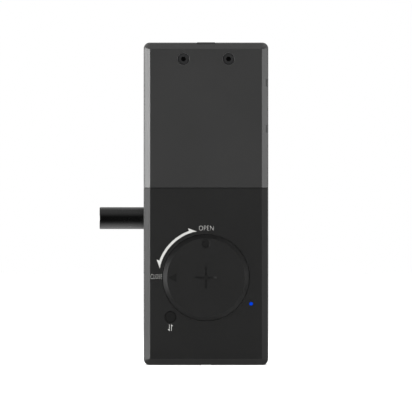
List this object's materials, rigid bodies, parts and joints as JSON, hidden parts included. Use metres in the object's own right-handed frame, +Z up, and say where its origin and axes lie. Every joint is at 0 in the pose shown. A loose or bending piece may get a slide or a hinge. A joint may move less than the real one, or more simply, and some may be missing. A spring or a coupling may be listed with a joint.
{
  "type": "garage door lock unit",
  "caption": "Battery-powered bolt lock for a sectional garage door: black box with a sliding round bolt, a manual dial, a sync button, a status light and a screwed battery cover.",
  "frame": {"origin": "centre of the four mounting holes, on the rear face", "axes": "+Z up along the length, +Y backwards towards the door's track, +X to the right of a person facing the front; the bolt points to -X"},
  "size_m": [0.0922, 0.0436, 0.1762],
  "materials": {
    "case_black": "fine spark texture",
    "cover_grey": "smooth satin moulding",
    "dial_black": "satin moulding",
    "button_black": "coarse spark texture",
    "frame_plastic": "glass-filled moulding",
    "gear_plastic": "natural acetal",
    "bush_plastic": "dark acetal",
    "bolt_steel": "blackened, oiled",
    "plain_steel": "ground",
    "screw_steel": "zinc plated",
    "black_screw_steel": "black oxide",
    "carriage_metal": "die cast",
    "brass": "turned",
    "magnet": "nickel plated",
    "motor_steel": "drawn and plated",
    "motor_plastic": "moulded",
    "board": "solder mask",
    "chip": "moulded",
    "can_metal": "bright",
    "socket_plastic": "moulded",
    "led": "clear over a blue chip",
    "light_blue": "clear, lit blue",
    "tray_plastic": "moulded",
    "cell_wrap": "printed sleeve without words",
    "contact_metal": "nickel plated",
    "wire": "soft insulation",
    "print_white": "screen print, which the visual model carries on the front cover"
  },
  "bodies": {
    "case": {"rear_housing": "case_black", "front_cover": "case_black", "cover_inserts": "brass", "mount_inserts": "brass", "case_screws": "screw_steel", "gearbox_base": "frame_plastic", "gearbox_screws": "screw_steel", "bridge_plate": "plain_steel", "bridge_screws": "screw_steel", "third_axle": "plain_steel", "second_axle": "plain_steel", "first_axle": "plain_steel", "bolt_bush": "bush_plastic", "guide_rod": "plain_steel", "motor_can": "motor_steel", "motor_end_cap": "motor_plastic", "motor_strap": "plain_steel", "strap_screws": "screw_steel", "circuit_board": "board", "board_screws": "screw_steel", "switch_body": "chip", "led_chip": "led", "light_pipe": "light_blue", "radio_module": "can_metal", "controller_chip": "chip", "board_capacitors": "can_metal", "bolt_sensors": "chip", "board_sockets": "socket_plastic", "battery_tray": "tray_plastic", "tray_screws": "screw_steel", "battery_cell_1": "cell_wrap", "battery_cell_2": "cell_wrap", "battery_cell_3": "cell_wrap", "battery_cell_4": "cell_wrap", "battery_contacts": "contact_metal", "battery_springs": "contact_metal", "battery_leads": "wire", "motor_leads": "wire"},
    "cover": {"battery_cover": "cover_grey", "cover_screws": "black_screw_steel"},
    "dial": {"dial_knob": "dial_black", "dial_spindle": "plain_steel", "dial_gear": "gear_plastic", "spindle_clip": "plain_steel", "spindle_washer": "plain_steel"},
    "bolt": {"lock_bolt": "bolt_steel", "bolt_carriage": "carriage_metal", "bolt_pin": "plain_steel", "position_magnet": "magnet"},
    "third_stage": {"third_gear": "gear_plastic"},
    "second_stage": {"second_gear": "gear_plastic"},
    "first_stage": {"first_gear": "gear_plastic"},
    "rotor": {"motor_shaft": "plain_steel", "motor_pinion": "brass"},
    "button": {"sync_button": "button_black", "switch_plunger": "chip"}
  },
  "joints": [
    {"name": "cover_lift", "type": "slide", "parent": "case", "child": "cover", "axis": [0, -1, 0], "range_m": [0, 0.03]},
    {"name": "bolt_slide", "type": "slide", "parent": "case", "child": "bolt", "axis": [1, 0, 0], "range_m": [0, 0.02356]},
    {"name": "dial_turn", "type": "hinge", "parent": "case", "child": "dial", "pos_m": [0, 0, -0.0402], "axis": [0, 1, 0], "range_deg": [0, 90]},
    {"name": "third_stage_turn", "type": "hinge", "parent": "case", "child": "third_stage", "pos_m": [0.0135, 0, -0.05629], "axis": [0, 1, 0], "range_deg": [-226, 0]},
    {"name": "second_stage_turn", "type": "hinge", "parent": "case", "child": "second_stage", "pos_m": [-0.00229, 0, -0.06203], "axis": [0, 1, 0], "range_deg": [0, 676]},
    {"name": "first_stage_turn", "type": "hinge", "parent": "case", "child": "first_stage", "pos_m": [-0.01528, 0, -0.05453], "axis": [0, 1, 0], "range_deg": [-2702, 0]},
    {"name": "rotor_turn", "type": "hinge", "parent": "case", "child": "rotor", "pos_m": [-0.01659, 0, -0.06948], "axis": [0, 1, 0], "range_deg": [0, 13510]},
    {"name": "button_press", "type": "slide", "parent": "case", "child": "button", "axis": [0, 1, 0], "range_m": [0, 0.0005], "stiffness_N_per_m": 1500, "springref_m": -0.0005}
  ],
  "couplings": [
    {"joint": "dial_turn", "follows": "bolt_slide", "rad_per_m": 66.667},
    {"joint": "third_stage_turn", "follows": "bolt_slide", "rad_per_m": -166.67},
    {"joint": "second_stage_turn", "follows": "bolt_slide", "rad_per_m": 500},
    {"joint": "first_stage_turn", "follows": "bolt_slide", "rad_per_m": -2000},
    {"joint": "rotor_turn", "follows": "bolt_slide", "rad_per_m": 10000}
  ]
}
